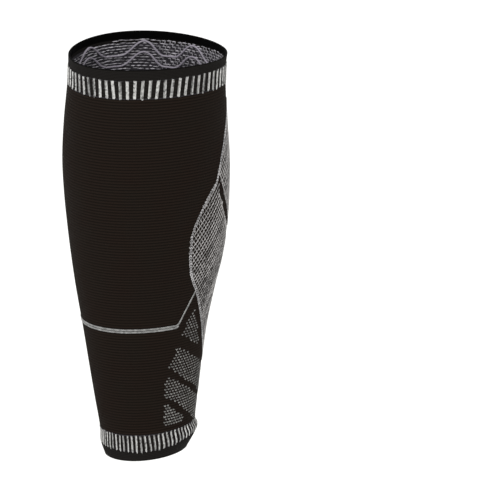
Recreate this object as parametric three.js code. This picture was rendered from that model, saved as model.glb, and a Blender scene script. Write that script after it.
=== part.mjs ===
// A footless knitted compression sleeve for the calf, in the form that it has on a leg.
// A tapering leg tube hangs between a ribbed cuff at the top and a ribbed hem at the ankle. Jacquard zones
// stand a little proud of its face, and two wavy grip lines run around the inside of the top cuff.
// Millimetres. +Z runs up the leg, +Y points to the back of the calf and +X to the leg's outer side.
// The origin is the middle of the calf's fullest section.

import * as THREE from "three";

// Driving dimensions of the knit.
const WALL = 1.5; // thickness of the knitted wall
const PIECE_GAP = 0.3; // clearance between neighbouring pieces
const DATUM_ABOVE_CALF = 81.6; // level that drops are measured from, over the calf's fullest section

// Levels down the leg, as drops below the datum along its sides. The top rim stands a little over it.
const TOP_RIM = -1.1;
const TOP_RIB_START = 7.6;
const TOP_RIB_END = 22.1;
const CALF_FULLEST = DATUM_ABOVE_CALF;
const HEM_RIB_START = 293;
const HEM_RIB_END = 306.4;
const HEM_RIM = 312.6;

// Outer face of the leg, one row for each section.
// drop: level below the datum. front, back: reach from the leg's axis to the shin and to the calf.
// side: half the width across. rise: climb of the section from front to back, for each millimetre.
// dip: how far its front and back hang below its sides. egg: how much it narrows towards its back and widens
// towards its front, as a share of its width.
const SECTIONS = [
  { drop: TOP_RIM, front: 59.0, back: 62.1, side: 62.4, rise: 0.008, dip: 2.0, egg: 0.12 },
  { drop: TOP_RIB_START, front: 59.0, back: 61.1, side: 60.6, rise: 0.011, dip: 1.1, egg: 0.14 },
  { drop: TOP_RIB_END, front: 59.7, back: 60.6, side: 60.6, rise: 0.002, dip: 0.9, egg: 0.14 },
  { drop: 52, front: 62.5, back: 61.7, side: 62.2, rise: 0.006, dip: 0.7, egg: 0.14 },
  { drop: CALF_FULLEST, front: 63.8, back: 63.4, side: 63.2, rise: 0.01, dip: 0.5, egg: 0.14 },
  { drop: 109, front: 62.5, back: 63.2, side: 62.4, rise: 0.014, dip: 0.3, egg: 0.14 },
  { drop: 137, front: 59.8, back: 61.5, side: 60.0, rise: 0.019, dip: 0.1, egg: 0.14 },
  { drop: 161, front: 56.9, back: 57.9, side: 56.4, rise: 0.024, dip: -0.1, egg: 0.14 },
  { drop: 184, front: 53.6, back: 52.4, side: 51.5, rise: 0.029, dip: -0.3, egg: 0.13 },
  { drop: 213, front: 48.7, back: 46.3, side: 45.8, rise: 0.036, dip: -0.6, egg: 0.12 },
  { drop: 241, front: 44.3, back: 42.5, side: 41.4, rise: 0.05, dip: -1.0, egg: 0.09 },
  { drop: 269, front: 39.8, back: 39.4, side: 37.2, rise: 0.072, dip: -1.6, egg: 0.05 },
  { drop: HEM_RIB_START, front: 35.8, back: 36.9, side: 34.0, rise: 0.091, dip: -2.2, egg: 0 },
  { drop: HEM_RIB_END, front: 35.1, back: 38.3, side: 33.5, rise: 0.15, dip: -5.6, egg: -0.05 },
  { drop: HEM_RIM, front: 32.3, back: 31.2, side: 33.0, rise: 0.09, dip: -0.9, egg: 0.05 },
];

// Facets around and along the knitted walls.
const TUBE_STEPS = 48;
const TUBE_ROWS = 12;
const WELT_ARC_STEPS = 4;

// Ribs of both bands: the corners of one rib, as shares of the pitch from its middle.
const RIB_COUNT = 66;
const RIB_PROUD = 0.5;
const RIB_CORNERS = [
  { turn: -0.34, proud: 0 },
  { turn: -0.24, proud: RIB_PROUD },
  { turn: 0.24, proud: RIB_PROUD },
  { turn: 0.34, proud: 0 },
];

// Grip lines inside the top cuff.
const GRIP_CRESTS = [0, 53.5, 92.5, 139.6, 180]; // degrees from the back's middle line, on both halves
const GRIP_STEPS = 64;
const GRIP_SWING = 5.4; // half of a wave's height
const GRIP_PEAK = 0.2; // how much narrower the crests are than the troughs
const GRIP_NUDGE = 0.01; // turn over which a line's slope is taken, in radians
const GRIP_WIDTH = 2.0;
const GRIP_HEIGHT = 0.6;
const GRIP_CROWN = 0.7; // width of its crown, as a share of the width that it sits on
const GRIP_LINES = [
  { name: "grip_wave_upper", middle: 13.2 },
  { name: "grip_wave_lower", middle: 21.6 },
];

// Jacquard zones on the face of the tube.
const ZONE_GAP = 0.45;
const ZONE_HEIGHT = 0.4;
const ZONE_TURN_STEP = 6.5; // degrees
const ZONE_DROP_STEP = 15;

// Outlines of the zones on one half of the sleeve: angle from the back's middle line in degrees, and the
// drops of the zone's upper and lower edges there.
const CALF_PANEL_UPPER = [
  { angle: 0, top: 36, bottom: 137.5 },
  { angle: 7.5, top: 47.5, bottom: 127.5 },
  { angle: 16, top: 61.5, bottom: 114.5 },
  { angle: 23, top: 73.5, bottom: 102 },
  { angle: 29, top: 85, bottom: 89.5 },
];
const CALF_PANEL_LOWER = [
  { angle: 0, top: 145, bottom: 244 },
  { angle: 7.5, top: 135, bottom: 236 },
  { angle: 16, top: 122, bottom: 224.5 },
  { angle: 23, top: 109, bottom: 212.5 },
  { angle: 30, top: 93.5, bottom: 202 },
  { angle: 38, top: 100.5, bottom: 189 },
  { angle: 43.5, top: 108, bottom: 179.5 },
  { angle: 48, top: 115, bottom: 173.5 },
  { angle: 53.5, top: 125.5, bottom: 163.5 },
  { angle: 56.5, top: 135, bottom: 148 },
];
const SHIN_LINE = [
  { angle: 44, top: 180, bottom: 184 },
  { angle: 58.5, top: 203.8, bottom: 209.2 },
  { angle: 60.5, top: 206, bottom: 209.2 },
  { angle: 180, top: 206, bottom: 209.2 },
];
const VENT_TOP = [
  { angle: 26.5, top: 224.5, bottom: 226.5 },
  { angle: 34, top: 208.5, bottom: 223.3 },
  { angle: 42, top: 196.5, bottom: 219.3 },
  { angle: 52, top: 213, bottom: 214.5 },
];
const VENT_BAR_UPPER = [
  { angle: 0, top: 252, bottom: 272 },
  { angle: 15.5, top: 245, bottom: 265 },
  { angle: 34, top: 236.5, bottom: 257 },
  { angle: 42.5, top: 232, bottom: 252.5 },
  { angle: 56, top: 225.5, bottom: 245 },
  { angle: 65, top: 237.5, bottom: 239.5 },
];
const VENT_BAR_LOWER = [
  { angle: 0, top: 279.5, bottom: 292 },
  { angle: 9, top: 275.5, bottom: 292 },
  { angle: 22, top: 270, bottom: 286.5 },
  { angle: 37, top: 263, bottom: 279 },
  { angle: 48, top: 257.5, bottom: 273 },
  { angle: 60, top: 251, bottom: 267 },
  { angle: 66.5, top: 249, bottom: 264 },
  { angle: 69.5, top: 252.5, bottom: 260 },
];
const VENT_LOW = [
  { angle: 42.5, top: 284.5, bottom: 286 },
  { angle: 51.5, top: 280, bottom: 288 },
  { angle: 65, top: 271.7, bottom: 288 },
  { angle: 69, top: 272.2, bottom: 287 },
];

// Yarn and grip colours.
const YARNS = {
  black: { color: 0x221d19, roughness: 0.9, metalness: 0 },
  ribbed: { color: 0x4a4745, roughness: 0.9, metalness: 0 },
  grey: { color: 0x8c8a8a, roughness: 0.85, metalness: 0 },
  dotted: { color: 0x6b6867, roughness: 0.85, metalness: 0 },
  grip: { color: 0x54505a, roughness: 0.35, metalness: 0 },
};

const SECTION_COLUMNS = ["front", "back", "side", "rise", "dip", "egg"];
const sectionCurve = new THREE.CubicInterpolant(
  SECTIONS.map((row) => row.drop),
  SECTIONS.flatMap((row) => SECTION_COLUMNS.map((column) => row[column])),
  SECTION_COLUMNS.length,
);

// A point of the knitted wall: inset is its depth under the outer face, and a negative one stands proud.
function legPoint(angle, drop, inset) {
  const [front, back, side, rise, dip, egg] = sectionCurve.evaluate(drop);
  const middle = (back - front) / 2;
  const reach = (back + front) / 2 - inset;
  const x = (side - inset) * (1 - egg * Math.cos(angle)) * Math.sin(angle);
  const y = middle + reach * Math.cos(angle);
  const z = DATUM_ABOVE_CALF - drop + rise * y - dip * Math.cos(angle) ** 2;
  return new THREE.Vector3(x, y, z);
}

function bendToLeg(geometry, place) {
  const position = geometry.getAttribute("position");
  const flat = new THREE.Vector3();
  for (let i = 0; i < position.count; i += 1) {
    flat.fromBufferAttribute(position, i);
    const { angle, drop, inset } = place(flat);
    position.setXYZ(i, ...legPoint(angle, drop, inset));
  }
  geometry.computeVertexNormals();
  return geometry;
}

function piece(name, yarn, geometry) {
  const mesh = new THREE.Mesh(geometry, new THREE.MeshStandardMaterial(YARNS[yarn]));
  mesh.name = name;
  return mesh;
}

// A closed ring around the leg: its profile of insets and drops is turned about the leg, then bent to it.
// turn moves a point of one column to its own place.
function ring(name, yarn, profile, steps, turn) {
  const spindle = 100; // radius that the profile is turned at, wider than any inset
  const outline = [...profile, profile[0]];
  const points = outline.map(({ inset, drop }) => new THREE.Vector2(spindle - inset, drop));
  const geometry = new THREE.LatheGeometry(points, steps);
  const pitch = (2 * Math.PI) / steps;
  const place = (flat) => {
    const column = Math.round(Math.atan2(flat.x, flat.z) / pitch + steps) % steps;
    const inset = spindle - Math.hypot(flat.x, flat.z);
    return turn({ column, angle: column * pitch, drop: flat.y, inset });
  };
  return piece(name, yarn, bendToLeg(geometry, place));
}

const asTurned = (spot) => spot;

// A turned edge: a flat band whose rim is rounded over the thickness of the wall.
function welt(name, rimDrop, seamDrop) {
  const inwards = Math.sign(seamDrop - rimDrop);
  const seam = seamDrop - inwards * PIECE_GAP;
  const radius = WALL / 2;
  const profile = [{ inset: WALL, drop: seam }];
  for (let step = 0; step <= WELT_ARC_STEPS; step += 1) {
    const turn = (Math.PI * step) / WELT_ARC_STEPS;
    const drop = rimDrop + inwards * radius * (1 - Math.sin(turn));
    profile.push({ inset: radius * (1 + Math.cos(turn)), drop });
  }
  profile.push({ inset: 0, drop: seam });
  return ring(name, "black", inwards > 0 ? profile : profile.reverse(), TUBE_STEPS, asTurned);
}

function ribBand(name, start, end) {
  const profile = [
    { inset: WALL, drop: end },
    { inset: WALL, drop: start },
    { inset: 0, drop: start },
    { inset: 0, drop: end },
  ];
  const pitch = (2 * Math.PI) / RIB_COUNT;
  const turn = ({ column, drop, inset }) => {
    const rib = Math.floor(column / RIB_CORNERS.length);
    const corner = RIB_CORNERS[column % RIB_CORNERS.length];
    const onFace = inset < WALL / 2;
    return { angle: (rib + corner.turn) * pitch, drop, inset: onFace ? -corner.proud : WALL };
  };
  return ring(name, "ribbed", profile, RIB_COUNT * RIB_CORNERS.length, turn);
}

function legTube() {
  const start = TOP_RIB_END + PIECE_GAP;
  const end = HEM_RIB_START - PIECE_GAP;
  const inner = [];
  const outer = [];
  for (let row = 0; row <= TUBE_ROWS; row += 1) {
    const drop = THREE.MathUtils.lerp(start, end, row / TUBE_ROWS);
    outer.push({ inset: 0, drop });
    inner.unshift({ inset: WALL, drop });
  }
  return ring("leg_tube", "black", [...inner, ...outer], TUBE_STEPS, asTurned);
}

// One whole wave from crest to crest, over the half turn from the back's middle line to the front's.
const gripPhase = new THREE.CubicInterpolant(
  GRIP_CRESTS.map((crest) => THREE.MathUtils.degToRad(crest)),
  GRIP_CRESTS.map((crest, index) => 2 * Math.PI * index),
  1,
);

function gripWave({ name, middle }) {
  const seat = WALL + PIECE_GAP;
  const profile = [
    { inset: seat + GRIP_HEIGHT, drop: GRIP_CROWN },
    { inset: seat + GRIP_HEIGHT, drop: -GRIP_CROWN },
    { inset: seat, drop: -1 },
    { inset: seat, drop: 1 },
  ];
  const radius = legPoint(Math.PI / 2, middle, seat).x;
  const level = (angle) => {
    const halfTurn = Math.abs(Math.atan2(Math.sin(angle), Math.cos(angle)));
    const [phase] = gripPhase.evaluate(halfTurn);
    return middle - GRIP_SWING * (Math.cos(phase) + GRIP_PEAK * Math.cos(2 * phase));
  };
  const turn = ({ angle, drop: side, inset }) => {
    const fall = level(angle + GRIP_NUDGE) - level(angle - GRIP_NUDGE);
    const slope = Math.atan(fall / (2 * GRIP_NUDGE * radius));
    const across = (side * GRIP_WIDTH) / 2;
    return {
      angle: angle - (across * Math.sin(slope)) / radius,
      drop: level(angle) + across * Math.cos(slope),
      inset,
    };
  };
  return ring(name, "grip", profile, GRIP_STEPS, turn);
}

// The rows of an outline with steps between them, none wider than the zone's own step.
function stepped(rows) {
  const fine = [rows[0]];
  rows.slice(1).forEach((row, i) => {
    const steps = Math.ceil(Math.abs(row.angle - rows[i].angle) / ZONE_TURN_STEP);
    for (let step = 1; step <= steps; step += 1) {
      const share = step / steps;
      const between = (column) => THREE.MathUtils.lerp(rows[i][column], row[column], share);
      fine.push({ angle: between("angle"), top: between("top"), bottom: between("bottom") });
    }
  });
  return fine;
}

// Both halves of an outline that meets its mirror image at the given angle, and one half on the far side.
const mirrored = (rows, angle) => rows.map((row) => ({ ...row, angle: 2 * angle - row.angle })).reverse();
const acrossBack = (rows) => [...mirrored(rows, 0), ...rows.slice(1)];
const acrossFront = (rows) => [...rows, ...mirrored(rows, 180).slice(1)];

// A thin knitted zone that lies on the face of the tube.
function zone(name, yarn, rows) {
  const columns = stepped(rows);
  const tallest = Math.max(...columns.map((column) => column.bottom - column.top));
  const across = columns.length - 1;
  const along = Math.ceil(tallest / ZONE_DROP_STEP);
  const geometry = new THREE.BoxGeometry(1, 1, 1, across, along, 1);
  const place = (flat) => {
    const column = columns[Math.round((flat.x + 0.5) * across)];
    return {
      angle: THREE.MathUtils.degToRad(column.angle),
      drop: THREE.MathUtils.lerp(column.top, column.bottom, 0.5 + flat.y),
      inset: -ZONE_GAP - ZONE_HEIGHT * (0.5 + flat.z),
    };
  };
  return piece(name, yarn, bendToLeg(geometry, place));
}

const sleeve = new THREE.Group();
sleeve.add(
  welt("top_welt", TOP_RIM, TOP_RIB_START),
  ribBand("top_rib_band", TOP_RIB_START, TOP_RIB_END),
  legTube(),
  ribBand("hem_rib_band", HEM_RIB_START, HEM_RIB_END),
  welt("hem_welt", HEM_RIM, HEM_RIB_END),
  ...GRIP_LINES.map(gripWave),
  zone("calf_panel_upper", "grey", acrossBack(CALF_PANEL_UPPER)),
  zone("calf_panel_lower", "grey", acrossBack(CALF_PANEL_LOWER)),
  zone("shin_line", "grey", acrossFront(SHIN_LINE)),
  zone("vent_top_outer", "dotted", VENT_TOP),
  zone("vent_top_inner", "dotted", mirrored(VENT_TOP, 0)),
  zone("vent_bar_upper", "dotted", acrossBack(VENT_BAR_UPPER)),
  zone("vent_bar_lower", "dotted", acrossBack(VENT_BAR_LOWER)),
  zone("vent_low_outer", "dotted", VENT_LOW),
  zone("vent_low_inner", "dotted", mirrored(VENT_LOW, 0)),
);

export default sleeve;
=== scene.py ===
"""Looks of a knitted calf sleeve, laid out as a small Blender add-on.

The tables give the leg's form in millimetres, as drops under a datum near the rim; the scene is in metres.
An angle round the leg runs from the back middle line (+Y) towards the outer side (+X).
"""

import math
from typing import NamedTuple

import bpy
import numpy as np
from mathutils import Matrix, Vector
from mathutils.bvhtree import BVHTree


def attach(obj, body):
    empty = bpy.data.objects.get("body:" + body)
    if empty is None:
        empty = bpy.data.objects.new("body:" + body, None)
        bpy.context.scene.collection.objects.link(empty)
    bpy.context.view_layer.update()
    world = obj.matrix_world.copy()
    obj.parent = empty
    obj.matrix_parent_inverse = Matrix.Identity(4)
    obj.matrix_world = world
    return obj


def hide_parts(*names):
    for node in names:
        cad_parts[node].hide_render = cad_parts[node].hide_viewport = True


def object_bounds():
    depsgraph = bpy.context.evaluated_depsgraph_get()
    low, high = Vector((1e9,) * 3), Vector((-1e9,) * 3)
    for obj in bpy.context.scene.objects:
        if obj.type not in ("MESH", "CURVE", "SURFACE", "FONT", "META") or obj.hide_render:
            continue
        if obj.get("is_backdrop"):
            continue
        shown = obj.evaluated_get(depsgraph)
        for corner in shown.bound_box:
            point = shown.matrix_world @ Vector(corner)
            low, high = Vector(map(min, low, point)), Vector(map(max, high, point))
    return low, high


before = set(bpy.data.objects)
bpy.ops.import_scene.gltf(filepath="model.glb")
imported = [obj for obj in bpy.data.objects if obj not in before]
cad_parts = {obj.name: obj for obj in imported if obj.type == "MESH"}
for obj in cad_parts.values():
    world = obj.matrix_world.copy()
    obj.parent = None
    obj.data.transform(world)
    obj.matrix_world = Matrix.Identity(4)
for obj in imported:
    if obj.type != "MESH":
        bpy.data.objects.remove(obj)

bl_info = {
    "name": "Knitted calf sleeve",
    "version": (1, 0, 0),
    "blender": (4, 5, 0),
    "location": "3D View > Sidebar > Sleeve",
    "description": "Builds the knit, the stitches and the stage of a calf sleeve on its packed frame",
    "category": "Object",
}

BODY = "root"
MM = 0.001
TAU = 2 * math.pi

# Heights of the parts of the leg, as drops under the datum
DATUM_ABOVE_CALF = 81.6
TOP_RIM = -1.1
TOP_RIB_START = 7.6
TOP_RIB_END = 22.1
HEM_RIB_START = 293.0
HEM_RIB_END = 306.4
HEM_RIM = 312.6

# Columns: drop, front, back, side, rise of the section to the back, dip at front and back, egg form
SECTIONS = np.array([
    (TOP_RIM, 59.0, 62.1, 62.4, 0.008, 2.0, 0.12),
    (TOP_RIB_START, 59.0, 61.1, 60.6, 0.011, 1.1, 0.14),
    (TOP_RIB_END, 59.7, 60.6, 60.6, 0.002, 0.9, 0.14),
    (52.0, 62.5, 61.7, 62.2, 0.006, 0.7, 0.14),
    (DATUM_ABOVE_CALF, 63.8, 63.4, 63.2, 0.010, 0.5, 0.14),
    (109.0, 62.5, 63.2, 62.4, 0.014, 0.3, 0.14),
    (137.0, 59.8, 61.5, 60.0, 0.019, 0.1, 0.14),
    (161.0, 56.9, 57.9, 56.4, 0.024, -0.1, 0.14),
    (184.0, 53.6, 52.4, 51.5, 0.029, -0.3, 0.13),
    (213.0, 48.7, 46.3, 45.8, 0.036, -0.6, 0.12),
    (241.0, 44.3, 42.5, 41.4, 0.050, -1.0, 0.09),
    (269.0, 39.8, 39.4, 37.2, 0.072, -1.6, 0.05),
    (HEM_RIB_START, 35.8, 36.9, 34.0, 0.091, -2.2, 0.0),
    (HEM_RIB_END, 35.1, 38.3, 33.5, 0.150, -5.6, -0.05),
    (HEM_RIM, 32.3, 31.2, 33.0, 0.090, -0.9, 0.05),
])

# How far the tube and the welts reach into the bands, and the bands into them
SEAM_OVERLAP = 0.6
BAND_OVERLAP = 0.3

# Knit counts round the leg, and mesh columns
RIB_COUNT = 66
WALE_COUNT = 264
DOT_COUNT = 100
FLOAT_COUNT = 88
FLOAT_COUNT_LOW = 44
TUBE_COLUMNS = 108
WELT_COLUMNS = 132
RIB_COLUMNS = 528

# Mesh rows: steps of a course and of a rounded rim, and heights of a row on the outer and inner face
COURSE_STEPS = 4
RIM_STEPS = 6
WELT_ROWS = (0.3, 0.6)
BAND_ROWS = (0.6, 1.2)

# Heights at which the tube's girth is taken for its area
AREA_STEPS = 60

# The welts: height of a course, its swell, tone of the inner face, and where the top one's turns light
WELT_COURSE = 1.2
WELT_SWELL = 0.06
WELT_DARKNESS = 0.15
LINING_TOP = 4.8

# Light ribs of the bands: places of the two wales, fray of the ends, sway, and a stitch's size and lift
TICK_WALES = (-0.35, 0.35)
TICK_FRAY = (-0.1, 0.8)
TICK_SWAY = 0.25
TICK_WIDTH = 0.82
TICK_LENGTH = 1.4
TICK_RADIUS = 0.2
TICK_LIFT = 0.05

# Tones of the light ribs: range of a wale, of a stitch, and how often and how much one is duller
WALE_TONES = (0.5, 1.05)
WALE_DULLNESS = (0.2, 0.4)
TICK_TONES = (-0.3, 0.2)
TICK_DULLNESS = (0.12, 0.5)

# Columns: angle from the back middle line, lean of a light rib of the top band in wales
TICK_LEANS = np.array([
    (0.0, 0.0),
    (50.0, 0.6),
    (85.0, 0.6),
    (98.0, 0.0),
    (112.0, -1.3),
    (140.0, -1.6),
    (180.0, 0.0),
])

# Wavy grip lines: each one's middle drop, the angles of the crests on each half, the form of a wave,
# the mesh and roundness of a strip, and how deep it sinks into the wall
GRIP_MIDDLES = {"grip_wave_upper": 13.2, "grip_wave_lower": 21.6}
GRIP_CRESTS = np.radians([0.0, 53.5, 92.5, 139.6, 180.0])
GRIP_SWING = 5.7
GRIP_PEAK = 0.2
GRIP_FLATNESS = 0.05
GRIP_STEPS = 256
GRIP_SPOKES = 7
GRIP_ROUNDNESS = 0.7
GRIP_SINK = 0.2

# The vent zones of the frame
VENT_NODES = (
    "vent_top_outer",
    "vent_top_inner",
    "vent_bar_upper",
    "vent_bar_lower",
    "vent_low_outer",
    "vent_low_inner",
)

# Search for a zone: start over the outer face, reach of the search in metres, step down the leg, angles
ZONE_LIFT = 5.0
ZONE_REACH = 0.009
EDGE_SCAN_STEP = 0.4
PANEL_TURNS = np.radians(np.arange(0, 58, 0.5))
SHIN_TURNS = np.radians(np.arange(42, 318.5, 1.0))


class Stitch(NamedTuple):
    """A V stitch: its size and its spacing along a chain in millimetres, and the range of its tones"""

    width: float
    length: float
    radius: float
    tones: tuple = (0.0, 1.0)
    spacing: float = 0.0


PANEL_STITCH = Stitch(width=4.1, length=2.4, radius=0.38, tones=(0.35, 1.1))
BORDER_STITCH = Stitch(width=2.1, length=2.0, radius=0.5, tones=(0.45, 1.25), spacing=2.2)
STRIPE_STITCH = Stitch(width=1.3, length=2.0, radius=0.36, tones=(0.4, 1.2), spacing=1.7)
SHIN_STITCH = Stitch(width=1.3, length=2.4, radius=0.36, tones=(0.5, 1.1), spacing=1.7)
VENT_STITCH = Stitch(width=1.5, length=1.3, radius=0.34, tones=(0.35, 1.25))

# All stitches: rings of a leg, flatness, unevenness, a chain's lift, a border's gap, the bake map's margin
STITCH_RINGS = 4
STITCH_FLATNESS = 0.45
STITCH_UNEVENNESS = 0.08
CHAIN_UNEVENNESS = 0.07
CHAIN_LIFT = 0.15
BORDER_EASE = math.radians(3)
BAKE_MARGIN = 0.06

# Columns: node of a calf panel, how much lighter its stitches are, seed
PANELS = (
    ("calf_panel_upper", 0.2, 31),
    ("calf_panel_lower", 0.0, 32),
)

# Streaks along the panels' diagonals: how many differ, width in half stitches, range of their tones
PANEL_STREAKS = 61
STREAK_WIDTH = 2
STREAK_TONES = (-0.38, 0.38)

# Where a panel's front part starts, and how much stouter the legs that slant up to the back are
PANEL_FRONT = math.radians(38)
PANEL_LEANS = {"front": 0.25, "back": 0.7}

# The black stripe between the panels: how far it reaches into each, in its middle and at its ends,
# and the distance of the chains from it
STRIPE_ABOVE = (0.5, 2.5)
STRIPE_BELOW = (5.0, 7.5)
STRIPE_CHAIN = 1.0

# Columns: millimetres round the leg, millimetres down it, from a stitch to places that decide on it
PANEL_SIDES = ((0.5, 0.0), (-0.5, 0.0), (0.0, 0.5), (0.0, -0.5))
VENT_SIDES = ((0.4, 0.0), (-0.4, 0.0), (0.0, 0.8), (0.0, 2.2))

# The line round the shin: its corner, the reach of its slant, how far it is knitted above the middle of
# its zone and more at the slant's end, and half the distance between its two chains
SHIN_CORNER = math.radians(58.5)
SHIN_SLANT = math.radians(14)
SHIN_RAISE = 1.4
SHIN_STEEPEN = 2.6
SHIN_HALF_WIDTH = 0.9

# The loose strands: first drop, how much lower they start at the shin, ends of both fields
FLOAT_TOP = 4.0
FLOAT_FALL = 7.0
FLOAT_DENSE_END = 110.0
FLOAT_END = 300.0

# One strand: thickness, mesh, lift, and its mean length share with the change from back to shin
FLOAT_RADIUS = 0.48
FLOAT_RINGS = 3
FLOAT_SIDES = 4
FLOAT_LIFT = 0.1
FLOAT_STRETCH = (1.1, 0.25)

# Tones of the strands: range, painted light that makes them lighter at the back, painted shade that makes
# them dimmer at the shin
FLOAT_TONES = (0.35, 1.2)
FLOAT_PAINTED_LIGHT = 0.04
FLOAT_PAINTED_SHADE = 0.35

# How uneven the strands lie round and down the leg, and in size
FLOAT_DRIFT = 0.14
FLOAT_SAG = 0.1
FLOAT_UNEVENNESS = 0.22

# The links that join the strands at the back: their reach, size shares, shift in strands, tones
LINK_REACH = 0.1
LINK_SCALE = (0.75, 0.65, 1.0)
LINK_SHIFT = 0.25
LINK_TONES = (0.15, 0.9)

# How far the hem's turned edge rolls under its frame
HEM_ROLL = 0.8


class SleeveSizes(bpy.types.PropertyGroup):
    """Sizes of the yarn and the stitches"""

    wall: bpy.props.FloatProperty(
        name="Wall", description="Thickness of the knit", default=0.0015, unit="LENGTH", subtype="DISTANCE")
    course: bpy.props.FloatProperty(
        name="Course", description="Height of one visible course of the knit", default=0.00225,
        unit="LENGTH", subtype="DISTANCE")
    ridge: bpy.props.FloatProperty(
        name="Ridge", description="Half the height of a course's ridge", default=0.00010,
        unit="LENGTH", subtype="DISTANCE")
    rib: bpy.props.FloatProperty(
        name="Rib", description="Height of a rib of the cuffs", default=0.0004,
        unit="LENGTH", subtype="DISTANCE")
    tick_course: bpy.props.FloatProperty(
        name="Tick stitch", description="Distance from stitch to stitch down a light rib", default=0.00115,
        unit="LENGTH", subtype="DISTANCE")
    grip_width: bpy.props.FloatProperty(
        name="Grip width", description="Width of a wavy grip line", default=0.0016,
        unit="LENGTH", subtype="DISTANCE")
    grip_height: bpy.props.FloatProperty(
        name="Grip height", description="Height of a wavy grip line over the knit", default=0.0011,
        unit="LENGTH", subtype="DISTANCE")
    float_length: bpy.props.FloatProperty(
        name="Float", description="Length of a loose strand on the inner face", default=0.0035,
        unit="LENGTH", subtype="DISTANCE")


class SleeveColours(bpy.types.PropertyGroup):
    """Colours of the yarns, the painted shade of the knit's grooves, the grip and the stage"""

    black: bpy.props.FloatVectorProperty(
        name="Black yarn", description="The ground knit", default=(0.0134, 0.0104, 0.0078), subtype="COLOR")
    black_warm: bpy.props.FloatVectorProperty(
        name="Black yarn, warm", description="Warmer patches of the ground knit",
        default=(0.0166, 0.0095, 0.0070), subtype="COLOR")
    # Painted shade: the darker black that the grooves between the courses and between the stitches are
    # painted towards
    black_groove_shade: bpy.props.FloatVectorProperty(
        name="Black yarn, deep", description="Between the stitches of the ground knit",
        default=(0.0030, 0.0025, 0.0020), subtype="COLOR")
    black_welt: bpy.props.FloatVectorProperty(
        name="Black yarn, welts", description="The turned edges", default=(0.0150, 0.0135, 0.0128),
        subtype="COLOR")
    inner_ground: bpy.props.FloatVectorProperty(
        name="Inner ground", description="The inner face behind the loose strands",
        default=(0.036, 0.034, 0.039), subtype="COLOR")
    white: bpy.props.FloatVectorProperty(
        name="Light yarn", description="The light ribs of the cuffs", default=(0.73, 0.725, 0.71),
        subtype="COLOR")
    grey: bpy.props.FloatVectorProperty(
        name="Grey yarn", description="The stitches of the calf panels", default=(0.44, 0.425, 0.42),
        subtype="COLOR")
    border: bpy.props.FloatVectorProperty(
        name="Border yarn", description="The chains along the calf panels", default=(0.48, 0.47, 0.475),
        subtype="COLOR")
    shin: bpy.props.FloatVectorProperty(
        name="Shin line yarn", description="The line round the shin", default=(0.33, 0.33, 0.325),
        subtype="COLOR")
    vent: bpy.props.FloatVectorProperty(
        name="Vent yarn", description="The dots of the vent zones", default=(0.29, 0.285, 0.275),
        subtype="COLOR")
    lilac: bpy.props.FloatVectorProperty(
        name="Inner yarn", description="The loose strands of the inner face", default=(0.48, 0.46, 0.50),
        subtype="COLOR")
    grip: bpy.props.FloatVectorProperty(
        name="Grip", description="The wavy grip lines", default=(0.30, 0.275, 0.325), subtype="COLOR")
    floor: bpy.props.FloatVectorProperty(
        name="Floor", description="The floor of the stage", default=(0.93, 0.93, 0.92), subtype="COLOR")


class SleeveStage(bpy.types.PropertyGroup):
    """Camera and light"""

    elevation: bpy.props.FloatProperty(
        name="Elevation", description="Camera's height over the horizon", default=math.radians(15.0),
        unit="ROTATION", subtype="ANGLE")
    lens: bpy.props.FloatProperty(
        name="Lens", description="Focal length in millimetres", default=900.0)
    view_width: bpy.props.FloatProperty(
        name="View width", description="Width of the picture at the sleeve", default=0.380,
        unit="LENGTH", subtype="DISTANCE")
    aim_back: bpy.props.FloatProperty(
        name="Aim back", description="Picture's middle, towards the back of the calf", default=0.0790,
        unit="LENGTH", subtype="DISTANCE")
    aim_down: bpy.props.FloatProperty(
        name="Aim down", description="Picture's middle, under the calf's fullest section", default=0.0660,
        unit="LENGTH", subtype="DISTANCE")
    floor_gap: bpy.props.FloatProperty(
        name="Floor gap", description="Room between the hem and the floor", default=0.14,
        unit="LENGTH", subtype="DISTANCE")
    sky: bpy.props.FloatProperty(
        name="Sky", description="Strength of the even light from all round", default=1.0)
    sun: bpy.props.FloatProperty(
        name="Sun", description="Strength of the soft light from the upper front", default=1.4)


class Value:
    """A shader value: one socket of a node tree, with operators that add Math nodes"""

    def __init__(self, tree, socket=None):
        self.tree = tree
        self.socket = socket

    def node(self, kind, settings=None, sockets=None, output=0):
        """Adds a node, with its settings and the values or links of its sockets, and gives an output"""
        made = self.tree.nodes.new(kind)
        for name, value in (settings or {}).items():
            setattr(made, name, value)
        for key, value in (sockets or {}).items():
            if isinstance(value, Value):
                self.tree.links.new(value.socket, made.inputs[key])
            else:
                made.inputs[key].default_value = value
        return Value(self.tree, made.outputs[output])

    def maths(self, operation, *values):
        return self.node("ShaderNodeMath", {"operation": operation}, dict(enumerate(values)))

    def __add__(self, other):
        return self.maths("ADD", self, other)

    def __radd__(self, other):
        return self.maths("ADD", other, self)

    def __sub__(self, other):
        return self.maths("SUBTRACT", self, other)

    def __rsub__(self, other):
        return self.maths("SUBTRACT", other, self)

    def __mul__(self, other):
        return self.maths("MULTIPLY", self, other)

    def __rmul__(self, other):
        return self.maths("MULTIPLY", other, self)

    def __abs__(self):
        return self.maths("ABSOLUTE", self)

    def fraction(self):
        return self.maths("FRACT", self)

    def attribute(self, name):
        """A named value of the mesh"""
        return self.node("ShaderNodeAttribute", {"attribute_name": name}, output=2)

    def sine(self):
        return self.maths("SINE", self)

    def mix(self, low, high):
        """A colour between two others, by this value"""
        ends = {0: self, 6: opaque(low), 7: opaque(high)}
        return self.node("ShaderNodeMix", {"data_type": "RGBA", "clamp_factor": True}, ends, 2)


def opaque(colour):
    """A colour with full alpha; a shader value is left as it is"""
    return colour if isinstance(colour, Value) else (*colour[:3], 1.0)


def noise(start, scale, detail=2.0):
    """Even noise from 0 to 1 at a place on the object"""
    place = start.node("ShaderNodeTexCoord", output=3)
    return start.node("ShaderNodeTexNoise", {}, {"Vector": place, "Scale": scale, "Detail": detail})


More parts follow.
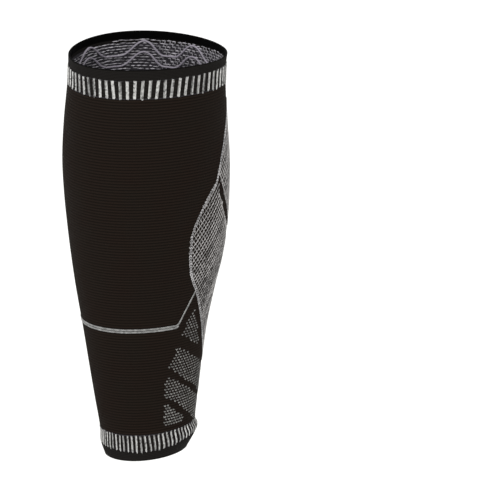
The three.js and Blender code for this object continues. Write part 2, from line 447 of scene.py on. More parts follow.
def map_axes(start, name):
    """The two axes of a named UV map"""
    spot = start.node("ShaderNodeUVMap", {"uv_map": name})
    return [start.node("ShaderNodeSeparateXYZ", {}, {0: spot}, axis) for axis in (0, 1)]


def shaded(name, build, constants):
    """A material whose varying sockets come from build(start) and whose other sockets are constants"""
    material = bpy.data.materials.new(name)
    material.use_nodes = True
    tree = material.node_tree
    shader = tree.nodes["Principled BSDF"]
    for socket, value in constants.items():
        shader.inputs[socket].default_value = value
    for socket, value in build(Value(tree)).items():
        tree.links.new(value.socket, shader.inputs[socket])
    return material


def knit_material(name, deep, light, warm, inner):
    """Black ground knit: rows of small V stitches, a little uneven in tone, with painted shade in the
    grooves between the courses and at the edges of each loop, and with its own inner face
    """

    def build(start):
        wale, course = map_axes(start, "Knit")
        side = abs(wale.fraction() - 0.5)
        loop = (course * 2 + side * 1.2).fraction()
        height = (loop * math.pi).sine() * (0.35 + 0.65 * (side * TAU).sine())
        ridge = abs((course * math.pi).sine())
        mottle = noise(start, 45.0)
        fuzz = noise(start, 2600.0)
        # Painted shade: ridge and height darken the grooves between the courses and the edges of each loop
        # towards deep; fuzz varies at random
        tone = 0.75 * ridge + 0.2 * height + 0.15 * fuzz - 0.08
        face = tone.mix(deep, mottle.mix(light, warm))
        bump = start.node(
            "ShaderNodeBump", {}, {"Strength": 0.6, "Distance": 0.00022, "Height": height + 0.5 * fuzz})
        return {
            "Base Color": start.attribute("tone").mix(inner, face),
            "Roughness": 0.8 + 0.15 * mottle,
            "Normal": bump,
        }

    return shaded(name, build, {"Specular IOR Level": 0.04})


def yarn_material(name, colour, dark_share=0.15, plies=1.5):
    """Light yarn: twisted plies with painted shade in the grooves between them, fuzz, and a tone of its own
    for each stitch
    """

    def build(start):
        turn, length = map_axes(start, "Yarn")
        ply = ((length * plies + turn) * TAU).sine() * 0.5 + 0.5
        fuzz = noise(start, 3200.0, 4.0)
        # Painted shade: darker in the grooves between the twisted plies; fuzz varies at random
        tone = start.attribute("tone") * (0.62 + 0.26 * ply + 0.24 * fuzz)
        bump = start.node(
            "ShaderNodeBump", {}, {"Strength": 0.5, "Distance": 0.00012, "Height": ply + fuzz})
        dark = tuple(part * dark_share for part in colour)
        return {
            "Base Color": tone.mix(dark, colour),
            "Roughness": 0.75 + 0.2 * fuzz,
            "Normal": bump,
        }

    constants = {
        "Specular IOR Level": 0.2,
        "Sheen Weight": 0.1,
        "Sheen Roughness": 0.4,
    }
    return shaded(name, build, constants)


def grip_material(name, colour):
    """Satin clear grip, a little uneven"""

    def build(start):
        cloud = noise(start, 300.0)
        bump = start.node(
            "ShaderNodeBump", {}, {"Strength": 0.25, "Distance": 0.0002, "Height": cloud})
        dark = tuple(part * 0.75 for part in colour)
        return {
            "Base Color": cloud.mix(dark, colour),
            "Roughness": 0.35 + 0.2 * cloud,
            "Normal": bump,
        }

    return shaded(name, build, {"Specular IOR Level": 0.4})


def floor_material(name, colour):
    """Matt pale floor"""

    def build(start):
        cloud = noise(start, 3.0)
        dark = tuple(part * 0.99 for part in colour)
        return {"Base Color": cloud.mix(dark, colour), "Roughness": 0.85 + 0.1 * cloud}

    return shaded(name, build, {"Specular IOR Level": 0.1})


def cubic_through(knots, values):
    """A smooth curve through rows of values at the knots, without curvature at both ends"""
    slopes = np.empty_like(values)
    slopes[1:-1] = (values[2:] - values[:-2]) / (knots[2:] - knots[:-2])[:, None]
    first = (values[1] - values[0]) / (knots[1] - knots[0])
    last = (values[-1] - values[-2]) / (knots[-1] - knots[-2])
    slopes[0] = (3 * first - slopes[1]) / 2
    slopes[-1] = (3 * last - slopes[-2]) / 2

    def curve(places):
        places = np.clip(places, knots[0], knots[-1])
        low = np.clip(np.searchsorted(knots, places, side="right") - 1, 0, len(knots) - 2)
        span = (knots[low + 1] - knots[low])[..., None]
        part = (places - knots[low])[..., None] / span
        square, cube = part**2, part**3
        rows = (
            values[low] * (2 * cube - 3 * square + 1)
            + slopes[low] * span * (cube - 2 * square + part)
            + values[low + 1] * (3 * square - 2 * cube)
            + slopes[low + 1] * span * (cube - square)
        )
        return np.moveaxis(rows, -1, 0)

    return curve


section_at = cubic_through(SECTIONS[:, 0], SECTIONS[:, 1:])
grip_phase = cubic_through(GRIP_CRESTS, TAU * np.arange(len(GRIP_CRESTS))[:, None])


def leg_point(angle, drop, lift=0.0):
    """Points at a lift over the leg's outer face, in metres"""
    angle, drop, lift = np.broadcast_arrays(angle, drop, lift)
    front, back, side, rise, dip, egg = section_at(drop)
    x = (side + lift) * (1 - egg * np.cos(angle)) * np.sin(angle)
    y = (back - front) / 2 + ((back + front) / 2 + lift) * np.cos(angle)
    z = DATUM_ABOVE_CALF - drop + rise * y - dip * np.cos(angle) ** 2
    return np.stack([x, y, z], axis=-1) * MM


def unit(vectors):
    """Vectors of length one"""
    return vectors / np.linalg.norm(vectors, axis=-1, keepdims=True)


def leg_axes(angle, drop):
    """Directions round the leg, down it and out of it"""
    turn, step = 0.002, 0.1
    around = unit(leg_point(angle + turn, drop) - leg_point(angle - turn, drop))
    down = unit(leg_point(angle, drop + step) - leg_point(angle, drop - step))
    return around, down, unit(np.cross(around, down))


def mean_radius(drop):
    """Mean radius of the leg at a drop, in millimetres"""
    front, back, side, *_ = section_at(np.asarray(drop, float))
    return (front + back + 2 * side) / 4


def course_wave(phase):
    """Ridge of a course, from -1 in the groove to 1 on the ridge"""
    return 1 - 2 * np.abs(2 * (phase % 1) - 1) ** 2.5


def band_profile(top, bottom, wall, outer_step, inner_step):
    """Drops and lifts round the closed section of a band, and which of them lie on the outer face"""
    half = wall / 2
    arc = np.linspace(0, math.pi, RIM_STEPS)[1:-1]
    outer = np.arange(math.ceil((top + half) / outer_step), (bottom - half) / outer_step) * outer_step
    inner = np.arange(bottom - half, top + half, -inner_step)
    drops = np.concatenate([
        outer, bottom - half + half * np.sin(arc), inner, top + half - half * np.sin(arc)])
    rounding = half * np.cos(arc)
    lifts = np.concatenate([
        np.zeros(len(outer)), rounding - half, np.full(len(inner), -wall), -rounding - half])
    return drops, lifts, np.arange(len(drops)) < len(outer)


def grid_corners(rows, columns):
    """Row and column of the four corners of each quad of a grid"""
    row, column = np.meshgrid(np.arange(rows), np.arange(columns), indexing="ij")
    row_at = np.stack([row, row, row + 1, row + 1], axis=-1).reshape(-1, 4)
    column_at = np.stack([column, column + 1, column + 1, column], axis=-1).reshape(-1, 4)
    return row_at, column_at


def wrapped_quads(rows, columns):
    """Quads of a grid that closes both ways, and the row and column of each corner before it wraps"""
    row_at, column_at = grid_corners(rows, columns)
    return row_at % rows * columns + column_at % columns, row_at, column_at


def knit_piece(name, drops, lifts, outer, columns, course, material, node):
    """A closed band of knit; lifts has one value for each row and column"""
    angle = np.arange(columns) / columns * TAU
    points = leg_point(angle[None, :], drops[:, None], lifts).reshape(-1, 3)
    quads, row_at, column_at = wrapped_quads(len(drops), columns)
    across = column_at / columns
    knit_drop = np.append(drops, drops[0])[row_at]
    maps = {
        "Knit": np.stack([across * WALE_COUNT, knit_drop / course], axis=-1),
        "OFBake": np.stack([across, row_at / len(drops)], axis=-1),
    }
    tones = np.repeat(outer.astype(float), columns)
    return make_piece(name, (points, quads, maps), material, (node,), tones)


def tube_along(path, radii, sides):
    """A rounded strand along a path: its points, its quads and the place of each corner on it"""
    along = unit(np.gradient(path, axis=0))
    across = unit(np.cross(np.array([0.0, 0.0, 1.0]), along))
    out = np.cross(along, across)
    spoke = np.arange(sides) / sides * TAU
    ring = across[:, None] * np.cos(spoke)[:, None] + out[:, None] * np.sin(spoke)[:, None]
    points = path[:, None] + ring * radii[:, None, None]
    rings = len(path)
    row_at, column_at = grid_corners(rings - 1, sides)
    fan = np.arange(1, sides - 1, 2)
    first_cap = np.stack([fan * 0, fan + 2, fan + 1, fan], axis=-1)
    cap_columns = np.concatenate([first_cap, first_cap[:, ::-1]])
    cap_rows = np.repeat([0, rings - 1], len(fan))[:, None] + np.zeros((1, 4), int)
    row_at = np.concatenate([row_at, cap_rows])
    column_at = np.concatenate([column_at, cap_columns])
    quads = row_at * sides + column_at % sides
    maps = np.stack([column_at / sides, row_at / (rings - 1)], axis=-1)
    return points.reshape(-1, 3), quads, maps


def joined(shapes):
    """Several strands as one template; each takes its own part of the map"""
    points, quads, maps = [], [], []
    count = 0
    for index, (shape_points, shape_quads, shape_maps) in enumerate(shapes):
        points.append(shape_points)
        quads.append(shape_quads + count)
        maps.append((shape_maps + (index, 0)) / (len(shapes), 1))
        count += len(shape_points)
    return np.concatenate(points), np.concatenate(quads), np.concatenate(maps)


def v_stitch(stitch, sides=6, lean=0.0):
    """One V stitch in millimetres: across, along from its point, out; lean makes one leg the stouter"""
    part = np.linspace(0, 1, STITCH_RINGS)
    thick = stitch.radius * np.sqrt(np.sin(math.pi * (0.08 + 0.84 * part)))
    legs = []
    for side in (1, -1):
        across = side * (0.12 + 0.38 * np.sin(part * math.pi / 2)) * (stitch.width - stitch.radius)
        along = (part - 0.5) * stitch.length
        out = 0.5 * stitch.radius * np.sin(math.pi * part)
        stout = thick * (1 + side * lean)
        legs.append(tube_along(np.stack([across, along, out], axis=-1), stout, sides))
    return joined(legs)


def dash(length, radius):
    """One short straight strand in millimetres, along its second axis"""
    part = np.linspace(0, 1, FLOAT_RINGS)
    path = np.stack([part * 0, (part - 0.5) * length, 0.5 * radius * np.sin(math.pi * part)], axis=-1)
    return tube_along(path, radius * (0.45 + 0.55 * np.sin(math.pi * part)), FLOAT_SIDES)


def scattered(template, places, along, out, scale):
    """Copies of a template at places, as one mesh with the maps of all copies side by side"""
    points, quads, maps = template
    across = np.cross(along, out)
    grown = points[None] * (scale[:, None, :] * MM)
    copies = (
        places[:, None]
        + across[:, None] * grown[..., :1]
        + along[:, None] * grown[..., 1:2]
        + out[:, None] * grown[..., 2:]
    )
    count = len(places)
    faces = quads[None] + (np.arange(count) * len(points))[:, None, None]
    cells = math.ceil(math.sqrt(count))
    corner = np.stack([np.arange(count) % cells, np.arange(count) // cells], axis=-1)
    baked = (corner[:, None, None] + BAKE_MARGIN + (1 - 2 * BAKE_MARGIN) * maps[None]) / cells
    layers = {
        "Yarn": np.repeat(maps[None], count, axis=0).reshape(-1, 4, 2),
        "OFBake": baked.reshape(-1, 4, 2),
    }
    return copies.reshape(-1, 3), faces.reshape(-1, 4), layers


def make_piece(name, mesh_parts, material, replaced=(), tones=None):
    """Makes a piece of the sleeve that rides on the frame"""
    points, quads, maps = mesh_parts
    mesh = bpy.data.meshes.new(name)
    mesh.from_pydata(points.tolist(), [], quads.tolist())
    for map_name, spots in maps.items():
        layer = mesh.uv_layers.new(name=map_name)
        layer.data.foreach_set("uv", spots.astype(np.float32).ravel())
    if tones is not None:
        own = mesh.attributes.new("tone", "FLOAT", "POINT")
        each = np.repeat(tones, len(points) // len(tones))
        own.data.foreach_set("value", each.astype(np.float32))
    mesh.shade_smooth()
    mesh.materials.append(material)
    piece = bpy.data.objects.new(name, mesh)
    bpy.context.scene.collection.objects.link(piece)
    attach(piece, BODY)
    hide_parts(*replaced)
    return piece


def uneven(chance, count, share):
    """Sizes of copies that differ a little, across, along and out"""
    return 1 + share * chance.standard_normal((count, 3)).clip(-2, 2)


def upright_stitches(template, angle, drop, chance):
    """Flat stitches that stand upright on the outer face, each a little different"""
    _, down, out = leg_axes(angle, drop)
    scale = uneven(chance, len(angle), STITCH_UNEVENNESS)
    scale[:, 2] *= STITCH_FLATNESS
    return scattered(template, leg_point(angle, drop), -down, out, scale)


def side_by_side(meshes):
    """Several meshes as one; each takes its own strip of the bake map"""
    points, quads, yarns, bakes = [], [], [], []
    count = 0
    for index, (mesh_points, mesh_quads, maps) in enumerate(meshes):
        points.append(mesh_points)
        quads.append(mesh_quads + count)
        yarns.append(maps["Yarn"])
        bakes.append((maps["OFBake"] + (index, 0)) / (len(meshes), 1))
        count += len(mesh_points)
    layers = {"Yarn": np.concatenate(yarns), "OFBake": np.concatenate(bakes)}
    return np.concatenate(points), np.concatenate(quads), layers


def zone_trees(names):
    """Search trees of the frame's zones"""
    trees = []
    for name in names:
        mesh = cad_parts[name].data
        corners = [vertex.co for vertex in mesh.vertices]
        trees.append(BVHTree.FromPolygons(corners, [polygon.vertices for polygon in mesh.polygons]))
    return trees


def on_zones(names, angle, drop):
    """Which places of the outer face lie under one of the zones"""
    trees = zone_trees(names)
    starts = leg_point(angle, drop, ZONE_LIFT)
    _, _, out = leg_axes(angle, drop)
    found = np.zeros(len(starts), bool)
    for index, (start, inward) in enumerate(zip(starts, -out)):
        ray = (Vector(start), Vector(inward), ZONE_REACH)
        found[index] = any(tree.ray_cast(*ray)[0] is not None for tree in trees)
    return found


def beside_zones(names, angle, drop, sides):
    """Whether zones lie under the places at each side of the given ones, a row for each side"""
    radius = mean_radius(drop)
    return np.array([on_zones(names, angle + around / radius, drop + down) for around, down in sides])


def zone_edges(name, angles):
    """Angles that a zone covers, with the drops of its upper and lower edge there"""
    drops = np.arange(TOP_RIB_END, HEM_RIB_START, EDGE_SCAN_STEP)
    angle, drop = np.meshgrid(angles, drops, indexing="ij")
    inside = on_zones([name], angle.ravel(), drop.ravel()).reshape(angle.shape)
    covered = inside.any(axis=1)
    first = drops[inside.argmax(axis=1)]
    last = drops[len(drops) - 1 - inside[:, ::-1].argmax(axis=1)]
    return angles[covered], first[covered], last[covered]


def dot_lattice(course):
    """Angles and drops of a staggered lattice of stitches over the whole tube"""
    rows = np.arange(math.ceil(TOP_RIB_END / course), math.floor(HEM_RIB_START / course))
    columns = np.arange(DOT_COUNT)
    row, column = np.meshgrid(rows, columns, indexing="ij")
    angle = (column + 0.5 * (row % 2)) / DOT_COUNT * TAU
    return angle.ravel(), (row * course + course / 2).ravel()


def chain_places(angle, drop, spacing, lift):
    """Even places along a line on the outer face, with the directions along it and out"""
    line = leg_point(angle, drop, lift)
    run = np.append(0, np.cumsum(np.linalg.norm(np.diff(line, axis=0), axis=1)))
    spots = np.linspace(0, run[-1], max(2, round(run[-1] / (spacing * MM))))
    angle_at = np.interp(spots, run, angle)
    drop_at = np.interp(spots, run, drop)
    places = leg_point(angle_at, drop_at, lift)
    _, _, out = leg_axes(angle_at, drop_at)
    along = np.gradient(places, axis=0)
    along = unit(along - out * (along * out).sum(axis=1, keepdims=True))
    return places, along, out


def chain_piece(name, stitch, lines, material, replaced, seed):
    """Chains of stitches along lines on the outer face, as one piece"""
    chance = np.random.default_rng(seed)
    runs = [chain_places(angle, drop, stitch.spacing, CHAIN_LIFT) for angle, drop in lines]
    places, along, out = (np.concatenate(column) for column in zip(*runs))
    scale = uneven(chance, len(places), CHAIN_UNEVENNESS)
    scale[:, 2] *= STITCH_FLATNESS
    tones = chance.uniform(*stitch.tones, len(places))
    mesh_parts = scattered(v_stitch(stitch), places, along, out, scale)
    return make_piece(name, mesh_parts, material, replaced, tones)


class SLEEVE_OT_leg(bpy.types.Operator):
    """Knits the tube of the leg"""

    bl_idname = "sleeve.leg"
    bl_label = "Leg tube"

    def execute(self, context):
        sizes, colours = context.scene.sleeve_sizes, context.scene.sleeve_colours
        course, wall = sizes.course / MM, sizes.wall / MM
        drops, lifts, outer = band_profile(
            TOP_RIB_END - SEAM_OVERLAP, HEM_RIB_START + SEAM_OVERLAP, wall, course / COURSE_STEPS, course)
        ridges = lifts + outer * sizes.ridge / MM * (course_wave(drops / course) - 1)
        lift_grid = np.repeat(ridges[:, None], TUBE_COLUMNS, axis=1)
        material = knit_material(
            "black_knit", colours.black_groove_shade, colours.black, colours.black_warm, colours.inner_ground)
        tube = knit_piece("leg_knit", drops, lift_grid, outer, TUBE_COLUMNS, course, material, "leg_tube")
        girth = TAU * mean_radius(SECTIONS[:, 0]) * MM
        length = (HEM_RIB_START - TOP_RIB_END) * MM
        heights = np.linspace(TOP_RIB_END, HEM_RIB_START, AREA_STEPS)
        area = float(np.mean(TAU * mean_radius(heights)) * MM * length)
        return {"FINISHED"}


class SLEEVE_OT_welts(bpy.types.Operator):
    """Knits the turned edges at both ends"""

    bl_idname = "sleeve.welts"
    bl_label = "Welts"

    def execute(self, context):
        sizes, colours = context.scene.sleeve_sizes, context.scene.sleeve_colours
        wall = sizes.wall / MM
        dark = [part * WELT_DARKNESS for part in colours.black_groove_shade]
        material = knit_material(
            "black_welt", colours.black_groove_shade, colours.black_welt, colours.black_welt, dark)
        hem_edge = HEM_RIM + HEM_ROLL
        # Columns: piece, node, top, bottom, drop under which the inner face is as light as the outer one
        welts = [
            ("top_welt_knit", "top_welt", TOP_RIM, TOP_RIB_START + SEAM_OVERLAP, LINING_TOP),
            ("hem_welt_knit", "hem_welt", HEM_RIB_END - SEAM_OVERLAP, hem_edge, hem_edge),
        ]
        for name, node, top, bottom, lined in welts:
            drops, lifts, outer = band_profile(top, bottom, wall, *WELT_ROWS)
            swell = lifts + outer * WELT_SWELL * (course_wave(drops / WELT_COURSE) - 1)
            lift_grid = np.repeat(swell[:, None], WELT_COLUMNS, axis=1)
            light = outer | (drops > lined)
            knit_piece(name, drops, lift_grid, light, WELT_COLUMNS, WELT_COURSE, material, node)
        return {"FINISHED"}


class SLEEVE_OT_ribs(bpy.types.Operator):
    """Knits the ribbed bands and their light ribs"""

    bl_idname = "sleeve.ribs"
    bl_label = "Ribbed bands"

    def execute(self, context):
        sizes, colours = context.scene.sleeve_sizes, context.scene.sleeve_colours
        wall, rib, pitch = sizes.wall / MM, sizes.rib / MM, sizes.tick_course / MM
        ground = knit_material(
            "black_rib", colours.black_groove_shade, colours.black_welt, colours.black_welt, colours.inner_ground)
        light = yarn_material("light_rib", colours.white, dark_share=0.12)
        # Columns: piece, node, top, bottom, share of the leans, seed
        bands = [
            ("top_rib", "top_rib_band", TOP_RIB_START, TOP_RIB_END, 1.0, 11),
            ("hem_rib", "hem_rib_band", HEM_RIB_START, HEM_RIB_END, 0.0, 12),
        ]
        for name, node, top, bottom, lean, seed in bands:
            drops, lifts, outer = band_profile(top - BAND_OVERLAP, bottom + BAND_OVERLAP, wall, *BAND_ROWS)
            turn = np.arange(RIB_COLUMNS) / RIB_COLUMNS * TAU
            swell = rib * (np.cos(RIB_COUNT * turn) - 1) / 2
            lift_grid = lifts[:, None] + outer[:, None] * swell[None, :]
            knit_piece(
                name + "_knit", drops, lift_grid, outer, RIB_COLUMNS, pitch * 2, ground, node)
            self.ticks(name + "_ticks", top, bottom, pitch, lean, light, seed)
        return {"FINISHED"}

    def ticks(self, name, top, bottom, pitch, slant, material, seed):
        """Two wales of light stitches on each rib, with uneven ends"""
        chance = np.random.default_rng(seed)
        wale_width = TAU * float(mean_radius((top + bottom) / 2)) / WALE_COUNT
        stitch = Stitch(wale_width * TICK_WIDTH, pitch * TICK_LENGTH, wale_width * TICK_RADIUS)
        dull_wales, wale_loss = WALE_DULLNESS
        dull_stitches, stitch_loss = TICK_DULLNESS
        angles, drops, tones = [], [], []
        for rib_index in range(RIB_COUNT):
            middle = rib_index / RIB_COUNT * TAU
            half_turn = math.degrees(math.atan2(math.sin(middle), math.cos(middle)))
            pull = np.interp(abs(half_turn), *TICK_LEANS.T)
            lean = chance.normal(0, TICK_SWAY) + slant * pull * math.copysign(1, half_turn)
            for wale in TICK_WALES:
                start = top + chance.uniform(*TICK_FRAY)
                end = bottom - chance.uniform(*TICK_FRAY)
                drop = np.arange(start + pitch / 2, end, pitch)
                tilt = lean * (drop - (top + bottom) / 2) / (bottom - top)
                angles.append(middle + (wale + tilt) * TAU / WALE_COUNT)
                drops.append(drop)
                streak = chance.uniform(*WALE_TONES) - wale_loss * (chance.uniform() < dull_wales)
                dull = stitch_loss * (chance.uniform(size=len(drop)) < dull_stitches)
                tones.append(streak + chance.uniform(*TICK_TONES, len(drop)) - dull)
        angle, drop = np.concatenate(angles), np.concatenate(drops)
        _, down, out = leg_axes(angle, drop)
        scale = uneven(chance, len(angle), STITCH_UNEVENNESS)
        places = leg_point(angle, drop, TICK_LIFT)
        mesh_parts = scattered(v_stitch(stitch, sides=4), places, -down, out, scale)
        make_piece(name, mesh_parts, material, (), np.concatenate(tones))


class SLEEVE_OT_grips(bpy.types.Operator):
    """Lays the wavy grip lines on the inner face"""

    bl_idname = "sleeve.grips"
    bl_label = "Grip waves"

    def execute(self, context):
        sizes, colours = context.scene.sleeve_sizes, context.scene.sleeve_colours
        material = grip_material("grip", colours.grip)
        seat = -(sizes.wall / MM) + GRIP_SINK
        spoke = np.linspace(0, math.pi, GRIP_SPOKES)
        across = np.cos(spoke) * sizes.grip_width / 2
        height = np.sin(spoke) ** GRIP_ROUNDNESS * (sizes.grip_height + GRIP_SINK * MM)
        for node, middle in GRIP_MIDDLES.items():
            turn = np.arange(GRIP_STEPS) / GRIP_STEPS * TAU
            phase = grip_phase(np.minimum(turn, TAU - turn))[0]
            wave = np.cos(phase) + GRIP_PEAK * np.cos(2 * phase) - GRIP_FLATNESS * np.cos(3 * phase)
            drop = middle - GRIP_SWING * wave
            line = leg_point(turn, drop, seat)
            along = unit(np.roll(line, -1, axis=0) - np.roll(line, 1, axis=0))
            _, _, out = leg_axes(turn, drop)
            side = unit(np.cross(out, along))
            points = line[:, None] + side[:, None] * across[:, None] - out[:, None] * height[:, None]
            quads, row_at, column_at = wrapped_quads(GRIP_STEPS, len(spoke))
            spots = np.stack([column_at / len(spoke), row_at / GRIP_STEPS], axis=-1)
            mesh_parts = (points.reshape(-1, 3), quads, {"OFBake": spots})
            make_piece(node + "_strip", mesh_parts, material, (node,))
        return {"FINISHED"}


class SLEEVE_OT_floats(bpy.types.Operator):
    """Lays the loose strands of the inner face and the links that join them at the back"""

    bl_idname = "sleeve.floats"
    bl_label = "Inner strands"

    def execute(self, context):
        sizes, colours = context.scene.sleeve_sizes, context.scene.sleeve_colours
        course = sizes.course / MM
        chance = np.random.default_rng(21)
        # Columns: first drop, last drop, strands round the leg
        fields = [
            (FLOAT_TOP, FLOAT_DENSE_END, FLOAT_COUNT),
            (FLOAT_DENSE_END, FLOAT_END, FLOAT_COUNT_LOW),
        ]
        angles, drops = [], []
        for top, bottom, count in fields:
            row, column = np.meshgrid(
                np.arange(math.ceil(top / course), bottom / course), np.arange(count), indexing="ij")
            place = column + 0.5 * (row % 2) + chance.normal(0, FLOAT_DRIFT, row.shape)
            angles.append((place / count * TAU).ravel())
            drops.append(((row + 0.5 + chance.normal(0, FLOAT_SAG, row.shape)) * course).ravel())
        angle, drop = np.concatenate(angles), np.concatenate(drops)
        shown = drop > FLOAT_TOP + FLOAT_FALL * np.clip(-np.cos(angle), 0, 1) ** 2
        angle, drop = angle[shown], drop[shown]
        template = dash(sizes.float_length / MM, FLOAT_RADIUS)
        material = yarn_material("inner_yarn", colours.lilac, dark_share=0.2, plies=3.0)
        seat = -sizes.wall / MM - FLOAT_LIFT
        around, down, out = leg_axes(angle, drop)
        scale = uneven(chance, len(angle), FLOAT_UNEVENNESS)
        mean_length, change = FLOAT_STRETCH
        scale[:, 1] *= mean_length - change * np.cos(angle)
        # Painted light makes the strands lighter at the back and painted shade makes them dimmer at the
        # shin, on top of their random tones
        shade = FLOAT_PAINTED_LIGHT * np.cos(angle) - FLOAT_PAINTED_SHADE * np.clip(-1 - 2 * np.cos(angle), 0, 1)
        tones = chance.uniform(*FLOAT_TONES, len(angle)) + shade
        strands = scattered(template, leg_point(angle, drop, seat), around, -out, scale)
        make_piece("inner_strands", strands, material, (), tones)
        back = (np.cos(angle) > LINK_REACH) & (drop < FLOAT_DENSE_END)
        link_angle = angle[back] + LINK_SHIFT / FLOAT_COUNT * TAU
        places = leg_point(link_angle, drop[back] + course / 2, seat)
        tones = chance.uniform(*LINK_TONES, len(places))
        links = scattered(template, places, down[back], -out[back], scale[back] * LINK_SCALE)
        make_piece("inner_links", links, material, (), tones)
        return {"FINISHED"}


class SLEEVE_OT_panels(bpy.types.Operator):
    """Knits the calf panels, their borders and the edges of the stripe between them"""

    bl_idname = "sleeve.panels"
    bl_label = "Calf panels"

    def execute(self, context):
        sizes, colours = context.scene.sleeve_sizes, context.scene.sleeve_colours
        material = yarn_material("grey_yarn", colours.grey)
        course = sizes.course / MM
        upper, lower = (zone_edges(node, PANEL_TURNS) for node, _, _ in PANELS)
        angle, drop = dot_lattice(course)
        clear = ~self.on_stripe(upper, lower, angle, drop)
        for node, lightness, seed in PANELS:
            inside = clear & beside_zones([node], angle, drop, PANEL_SIDES).all(axis=0)
            self.stitches(node, angle[inside], drop[inside], course, lightness, material, seed)
        self.borders(upper, lower, yarn_material("border_yarn", colours.border))
        self.stripe_edges(upper, lower, material)
        return {"FINISHED"}

    def stripe(self, upper, lower, turn):
        """Drops of both edges of the black stripe between the panels, which flares at its ends"""
        upper_turn, _, upper_bottom = upper
        lower_turn, lower_top, _ = lower
        flare = 2 * turn / upper_turn[-1] - 1
        first = np.interp(turn, upper_turn, upper_bottom) - np.interp(flare, (0, 1), STRIPE_ABOVE)
        last = np.interp(turn, lower_turn, lower_top) + np.interp(flare, (0, 1), STRIPE_BELOW)
        return first, last

    def on_stripe(self, upper, lower, angle, drop):
        """Which places lie on the black stripe"""
        turn = np.abs(np.arctan2(np.sin(angle), np.cos(angle)))
        first, last = self.stripe(upper, lower, turn)
        return (turn < upper[0][-1]) & (drop > first) & (drop < last)

    def stitches(self, node, angle, drop, course, lightness, material, seed):
        """Stitches whose stouter leg slants up to the back middle line, in streaks of uneven tone"""
        chance = np.random.default_rng(seed)
        streaks = lightness + chance.uniform(*STREAK_TONES, PANEL_STREAKS)
        turn = np.arctan2(np.sin(angle), np.cos(angle))
        half = np.where(turn < 0, -1, 1)
        part = np.where(np.abs(turn) > PANEL_FRONT, "front", "back")
        meshes, tones = [], []
        for side, name in sorted(set(zip(half.tolist(), part.tolist()))):
            chosen = (half == side) & (part == name)
            template = v_stitch(PANEL_STITCH, lean=side * PANEL_LEANS[name])
            meshes.append(upright_stitches(template, angle[chosen], drop[chosen], chance))
            diagonal = 2 * DOT_COUNT * angle[chosen] / TAU - side * drop[chosen] / course
            streak = streaks[np.floor(diagonal / STREAK_WIDTH).astype(int) % PANEL_STREAKS]
            tones.append(chance.uniform(*PANEL_STITCH.tones, len(streak)) + streak)
        mesh_parts = side_by_side(meshes)
        tones = np.concatenate(tones)
        make_piece(node + "_stitches", mesh_parts, material, (node,), tones)

    def borders(self, upper, lower, material):
        """Light chains along the panels' outer edges"""
        upper_turn, upper_top, _ = upper
        turn, top, bottom = lower
        join = upper_turn[-1]
        behind = upper_turn < join - BORDER_EASE
        front = turn > join + BORDER_EASE
        outline_turn = np.concatenate([upper_turn[behind], turn[front], turn[::-1]])
        outline_drop = np.concatenate([upper_top[behind], top[front], bottom[::-1]])
        lines = [(outline_turn, outline_drop), (-outline_turn, outline_drop)]
        chain_piece("panel_border", BORDER_STITCH, lines, material, (), 33)

    def stripe_edges(self, upper, lower, material):
        """Fine chains along both edges of the black stripe"""
        turn = upper[0]
        first, last = self.stripe(upper, lower, turn)
        edges = (first - STRIPE_CHAIN, last + STRIPE_CHAIN)
        lines = [(side * turn, edge) for edge in edges for side in (1, -1)]
        chain_piece("stripe_edges", STRIPE_STITCH, lines, material, (), 34)


class SLEEVE_OT_shin_line(bpy.types.Operator):
    """Knits the light line round the shin and up to the panels"""

    bl_idname = "sleeve.shin_line"
    bl_label = "Shin line"

    def execute(self, context):
        colours = context.scene.sleeve_colours
        angle, top, bottom = zone_edges("shin_line", SHIN_TURNS)
        level = (angle > SHIN_CORNER) & (angle < TAU - SHIN_CORNER)
        slant = np.clip((SHIN_CORNER - np.minimum(angle, TAU - angle)) / SHIN_SLANT, 0, 1)
        middle = (top + bottom) / 2 - SHIN_RAISE - SHIN_STEEPEN * slant
        upper = np.where(level, middle - SHIN_HALF_WIDTH, middle)
        lines = [(angle, upper), (angle[level], middle[level] + SHIN_HALF_WIDTH)]
        material = yarn_material("shin_yarn", colours.shin)
        chain_piece("shin_line_stitches", SHIN_STITCH, lines, material, ("shin_line",), 41)
        return {"FINISHED"}


class SLEEVE_OT_vents(bpy.types.Operator):
    """Dots the vent zones with light stitches"""

    bl_idname = "sleeve.vents"
    bl_label = "Vent zones"

    def execute(self, context):
        sizes, colours = context.scene.sleeve_sizes, context.scene.sleeve_colours
        angle, drop = dot_lattice(sizes.course / MM)
        inside = beside_zones(VENT_NODES, angle, drop, VENT_SIDES).any(axis=0)
        material = yarn_material("vent_yarn", colours.vent, plies=1.0)
        chance = np.random.default_rng(51)
        dots = upright_stitches(v_stitch(VENT_STITCH, sides=4), angle[inside], drop[inside], chance)
        tones = chance.uniform(*VENT_STITCH.tones, int(inside.sum()))
        make_piece("vent_dots", dots, material, VENT_NODES, tones)
        return {"FINISHED"}


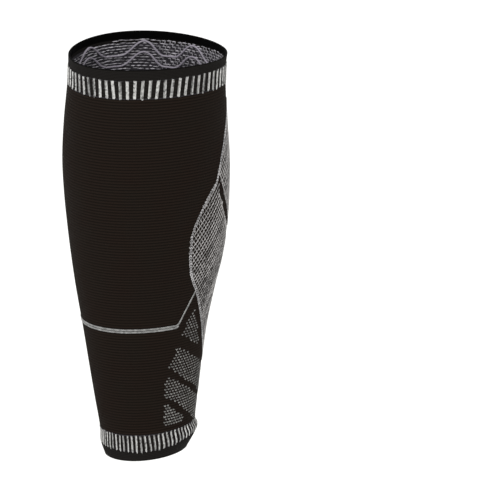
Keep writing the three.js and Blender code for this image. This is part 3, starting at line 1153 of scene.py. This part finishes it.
class SLEEVE_OT_stage(bpy.types.Operator):
    """Sets the floor, the light and the camera"""

    bl_idname = "sleeve.stage"
    bl_label = "Stage"

    def execute(self, context):
        scene = context.scene
        stage = scene.sleeve_stage
        lowest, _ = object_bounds()
        self.floor(scene, lowest.z - stage.floor_gap)
        self.light(scene, stage)
        self.camera(scene, stage)
        scene.view_settings.view_transform = "Standard"
        return {"FINISHED"}

    def floor(self, scene, height):
        """A wide pale floor"""
        reach = 40.0
        corners = [(x * reach, y * reach, height) for x, y in ((-1, -1), (1, -1), (1, 1), (-1, 1))]
        mesh = bpy.data.meshes.new("floor")
        mesh.from_pydata(corners, [], [(0, 1, 2, 3)])
        mesh.materials.append(floor_material("floor", scene.sleeve_colours.floor))
        floor = bpy.data.objects.new("floor", mesh)
        scene.collection.objects.link(floor)
        floor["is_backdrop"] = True

    def light(self, scene, stage):
        """An even sky and one soft sun"""
        world = bpy.data.worlds.new("sky")
        world.use_nodes = True
        sky = world.node_tree.nodes["Background"]
        sky.inputs["Color"].default_value = (1.0, 1.0, 0.99, 1.0)
        sky.inputs["Strength"].default_value = stage.sky
        scene.world = world
        sun = bpy.data.lights.new("sun", "SUN")
        sun.energy = stage.sun
        sun.angle = math.radians(50)
        lamp = bpy.data.objects.new("sun", sun)
        lamp.rotation_mode = "QUATERNION"
        lamp.rotation_quaternion = Vector((-1.0, 0.5, -1.1)).to_track_quat("-Z", "Y")
        scene.collection.objects.link(lamp)

    def camera(self, scene, stage):
        """A long lens that looks at the outer side from a little above"""
        data = bpy.data.cameras.new("camera")
        data.sensor_width = 36.0
        data.lens = stage.lens
        data.clip_end = 100.0
        rise, reach = math.sin(stage.elevation), math.cos(stage.elevation)
        towards = Vector((reach, 0.0, rise))
        upward = Vector((-rise, 0.0, reach))
        aim = Vector((0.0, stage.aim_back, 0.0)) - upward * stage.aim_down
        camera = bpy.data.objects.new("camera", data)
        camera.location = aim + towards * (stage.view_width * data.lens / data.sensor_width)
        camera.rotation_mode = "QUATERNION"
        camera.rotation_quaternion = (-towards).to_track_quat("-Z", "Y")
        scene.collection.objects.link(camera)
        scene.camera = camera


OPERATORS = (
    SLEEVE_OT_leg,
    SLEEVE_OT_welts,
    SLEEVE_OT_ribs,
    SLEEVE_OT_grips,
    SLEEVE_OT_floats,
    SLEEVE_OT_panels,
    SLEEVE_OT_shin_line,
    SLEEVE_OT_vents,
    SLEEVE_OT_stage,
)
GROUPS = {"sleeve_sizes": SleeveSizes, "sleeve_colours": SleeveColours, "sleeve_stage": SleeveStage}


class SLEEVE_PT_panel(bpy.types.Panel):
    """Lists the steps that build the sleeve"""

    bl_idname = "SLEEVE_PT_panel"
    bl_label = "Knitted calf sleeve"
    bl_space_type = "VIEW_3D"
    bl_region_type = "UI"
    bl_category = "Sleeve"

    def draw(self, context):
        for operator in OPERATORS:
            self.layout.operator(operator.bl_idname)
        for name, group in GROUPS.items():
            box = self.layout.box()
            for setting in group.__annotations__:
                box.prop(getattr(context.scene, name), setting)


CLASSES = (*GROUPS.values(), *OPERATORS, SLEEVE_PT_panel)


def register():
    for cls in CLASSES:
        bpy.utils.register_class(cls)
    for name, group in GROUPS.items():
        setattr(bpy.types.Scene, name, bpy.props.PointerProperty(type=group))


def unregister():
    for name in GROUPS:
        delattr(bpy.types.Scene, name)
    for cls in reversed(CLASSES):
        bpy.utils.unregister_class(cls)


def main():
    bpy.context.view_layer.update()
    register()
    bpy.ops.sleeve.leg()
    bpy.ops.sleeve.welts()
    bpy.ops.sleeve.ribs()
    bpy.ops.sleeve.grips()
    bpy.ops.sleeve.floats()
    bpy.ops.sleeve.panels()
    bpy.ops.sleeve.shin_line()
    bpy.ops.sleeve.vents()
    bpy.ops.sleeve.stage()
    bpy.context.view_layer.update()


if __name__ == "__main__":
    main()
